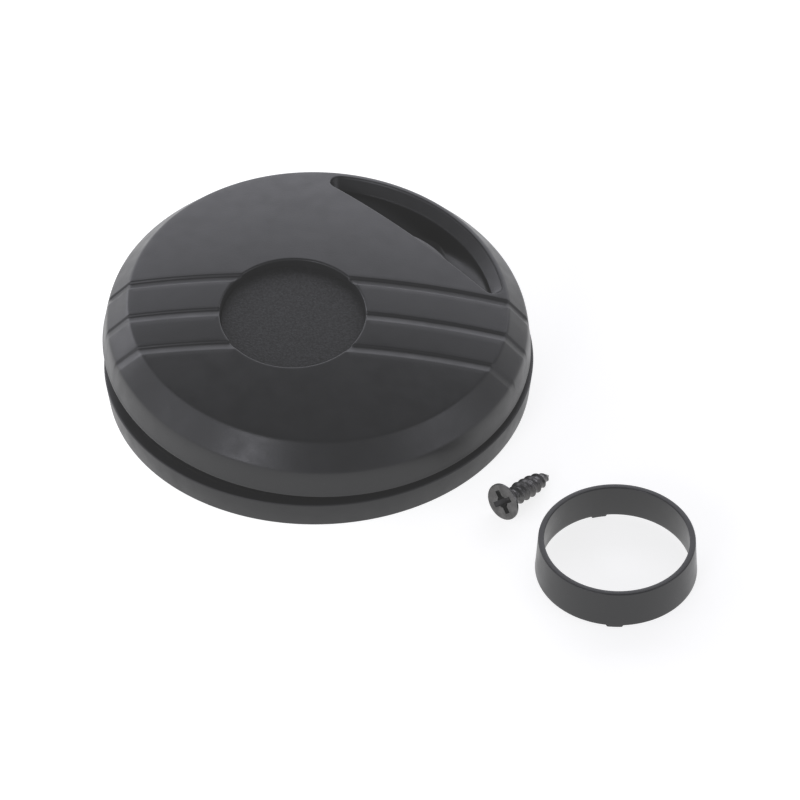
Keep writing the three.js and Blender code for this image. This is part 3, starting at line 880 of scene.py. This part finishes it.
def foam(name, value):
    """Soft foam with open pores."""
    s = Shader(name)
    cell = s.node("ShaderNodeTexVoronoi", Scale=2500.0)
    s.feed(cell.inputs["Vector"], s.position)
    pores = s.remap(cell.outputs["Distance"], 0.1, 0.5)
    s.bump(pores, 0.12)
    return s.done(s.mix(pores, grey(value * 0.4), grey(value * 1.3)), 0.95, specular=0.2)


def set_material(obj, *materials):
    """Gives a mesh its materials in place of any it had."""
    obj.data.materials.clear()
    for material in materials:
        obj.data.materials.append(material)


# ---- pieces -------------------------------------------------------------------------------------

def ride(obj, body, slot, *nodes):
    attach(obj, body)
    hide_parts(*nodes)


def make_cover(plastic):
    obj = cover_shell()
    set_material(obj, plastic)
    place(obj, COVER_FRAME)
    ride(obj, "cover", "cover", "cover_shell")


def make_disc(grained, plastic):
    radius = RECESS_R - DISC_GAP
    top = -DISC_DROP
    profile = fillet_profile([
        (0, top - DISC_T, 0), (radius, top - DISC_T, 0.1), (radius, top, 0.08), (0, top, 0),
    ])
    obj = revolve("centre_disc_face", profile, 160)
    set_material(obj, grained, plastic)
    for polygon in obj.data.polygons:
        c = polygon.center
        polygon.material_index = 1 if math.hypot(c.x, c.y) > (radius - DISC_BORDER) * MM else 0
    place(obj, COVER_FRAME @ recess_frame())
    ride(obj, "cover", "disc", "centre_disc")


def make_base(plastic):
    obj = base_disc()
    set_material(obj, plastic)
    ride(obj, "base", "base", "base_disc")


def make_collar(plastic):
    low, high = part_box("collar_ring")
    obj = collar_ring(high[2] / MM)
    set_material(obj, plastic)
    place(obj, Matrix.Translation(((low[0] + high[0]) / 2, (low[1] + high[1]) / 2, 0)))
    ride(obj, "collar", "collar", "collar_ring")


def make_screw(steel_finish):
    obj = screw_body()
    set_material(obj, steel_finish)
    place(obj, screw_frame())
    ride(obj, "screw", "steel", "mounting_screw")


COOL = (0.96, 1.0, 1.08)

cover_plastic = moulded_plastic("cover_plastic", 0.007, COOL, 0.37)
base_plastic = moulded_plastic("base_plastic", 0.008, COOL, 0.42, specular=0.35)
collar_plastic = moulded_plastic("collar_plastic", 0.008, COOL, 0.32, specular=0.5)
disc_grain = grained_plastic("disc_grain", 0.007, COOL, 0.55)
steel = metal("dark_steel", 0.115, (1.0, 0.98, 0.97), 0.33)
acetal = moulded_plastic("acetal", 0.6, (1.0, 0.98, 0.92), 0.4, dust=0.0)
black_foam = foam("black_foam", 0.02)

make_cover(cover_plastic)
make_disc(disc_grain, cover_plastic)
make_base(base_plastic)
make_collar(collar_plastic)
make_screw(steel)

# Hidden pieces keep the CAD's own shape
CARRIED = {
    "socket_plate": base_plastic,
    "underside_gasket": black_foam, "disc_pad": black_foam, "centre_stud": steel, "retaining_clip": steel,
    "thrust_washer": acetal, "ball_bush": acetal,
    "plate_screw_1": steel, "plate_screw_2": steel, "plate_screw_3": steel,
}
for node_name, node_material in CARRIED.items():
    set_material(frame["nodes"][node_name], node_material)


# ---- studio -------------------------------------------------------------------------------------

STUDIO_TINT = (0.98, 0.98, 1.07)
VEIL = 0.024  # light scattered in the lens, which lifts the blacks
CAMERA_AT = (0.015258, -0.592039, 0.546104)
CAMERA_UP, CAMERA_ROLL, CAMERA_LENS = 43.014, -0.726, 190.83
FLOOR_HALF = 3.0
FLOOR_BELOW = 0.00005
FLOOR_GLOW = (1.02, 0.77)  # left and right of the object


def make_floor():
    """White ground that glows evenly, a little less on the side where more light falls on it."""
    half = FLOOR_HALF / MM
    corners = [(-half, -half, 0), (half, -half, 0), (half, half, 0), (-half, half, 0)]
    obj = add_object("studio_floor", corners, [(0, 1, 2, 3)])
    s = Shader("studio_white")
    along_x = s.node("ShaderNodeSeparateXYZ", Vector=s.position).outputs["X"]
    s.bsdf.inputs["Emission Color"].default_value = (1, 1, 1, 1)
    s.feed(s.bsdf.inputs["Emission Strength"], s.remap(along_x, -0.05, 0.05, *FLOOR_GLOW))
    set_material(obj, s.done(grey(0.4), 0.9, specular=0.1))
    place(obj, Matrix.Translation((0, 0, -FLOOR_BELOW)))


def softbox(name, azimuth, elevation, distance, size, radiance):
    """Rectangular area light that faces the object from a direction given in degrees."""
    light = bpy.data.lights.new(name, "AREA")
    light.shape = "RECTANGLE"
    light.size, light.size_y = size
    light.energy = radiance * math.pi * size[0] * size[1]
    light.color = STUDIO_TINT
    a, e = math.radians(azimuth), math.radians(elevation)
    obj = bpy.data.objects.new(name, light)
    obj.location = distance * Vector((math.cos(a) * math.cos(e), math.sin(a) * math.cos(e), math.sin(e)))
    obj.rotation_euler = (-obj.location).to_track_quat("-Z", "Y").to_euler()
    bpy.context.scene.collection.objects.link(obj)


def make_world(horizon, overhead):
    """Pale surroundings that get darker from near the horizon upwards."""
    world = bpy.data.worlds.new("studio")
    bpy.context.scene.world = world
    world.use_nodes = True
    nodes, links = world.node_tree.nodes, world.node_tree.links
    direction = nodes.new("ShaderNodeTexCoord")
    split = nodes.new("ShaderNodeSeparateXYZ")
    fade = nodes.new("ShaderNodeMapRange")
    fades = {"From Min": 0.15, "From Max": 0.75, "To Min": horizon, "To Max": overhead}
    for key, value in fades.items():
        fade.inputs[key].default_value = value
    background = nodes["Background"]
    background.inputs["Color"].default_value = (*STUDIO_TINT, 1)
    links.new(direction.outputs["Generated"], split.inputs[0])
    links.new(split.outputs["Z"], fade.inputs["Value"])
    links.new(fade.outputs[0], background.inputs["Strength"])


def make_camera():
    """Long lens from the front, 43 degrees up, with a slight roll."""
    elevation, roll = math.radians(CAMERA_UP), math.radians(CAMERA_ROLL)
    forward = Vector((0, math.cos(elevation), -math.sin(elevation)))
    level = Vector((1, 0, 0))
    up0 = level.cross(forward)
    right = math.cos(roll) * level + math.sin(roll) * up0
    up = -math.sin(roll) * level + math.cos(roll) * up0
    data = bpy.data.cameras.new("camera")
    data.sensor_width = 36.0
    data.lens = CAMERA_LENS
    data.clip_start, data.clip_end = 0.01, 50
    obj = bpy.data.objects.new("camera", data)
    bpy.context.scene.collection.objects.link(obj)
    matrix = Matrix((right, up, -forward)).transposed().to_4x4()
    matrix.translation = Vector(CAMERA_AT)
    obj.matrix_world = matrix
    bpy.context.scene.camera = obj


def make_view():
    """Plain view transform whose black point lies below black, as under scattered light."""
    view = bpy.context.scene.view_settings
    view.view_transform = "Standard"
    view.use_curve_mapping = True
    view.curve_mapping.black_level = (-VEIL, -VEIL, -VEIL)
    view.curve_mapping.update()


make_floor()
make_world(0.5, 0.2)
softbox("back_softbox", 90, 28, 1.5, (3.2, 1.3), 1.45)
softbox("left_softbox", 198, 22, 1.2, (0.6, 0.6), 1.3)
softbox("front_left_softbox", 238, 26, 1.2, (0.42, 0.42), 4.8)
softbox("back_left_softbox", 148, 15, 1.2, (0.6, 0.45), 3.0)
softbox("right_softbox", 335, 25, 1.2, (0.7, 0.6), 1.2)
make_camera()
make_view()

bpy.context.view_layer.update()
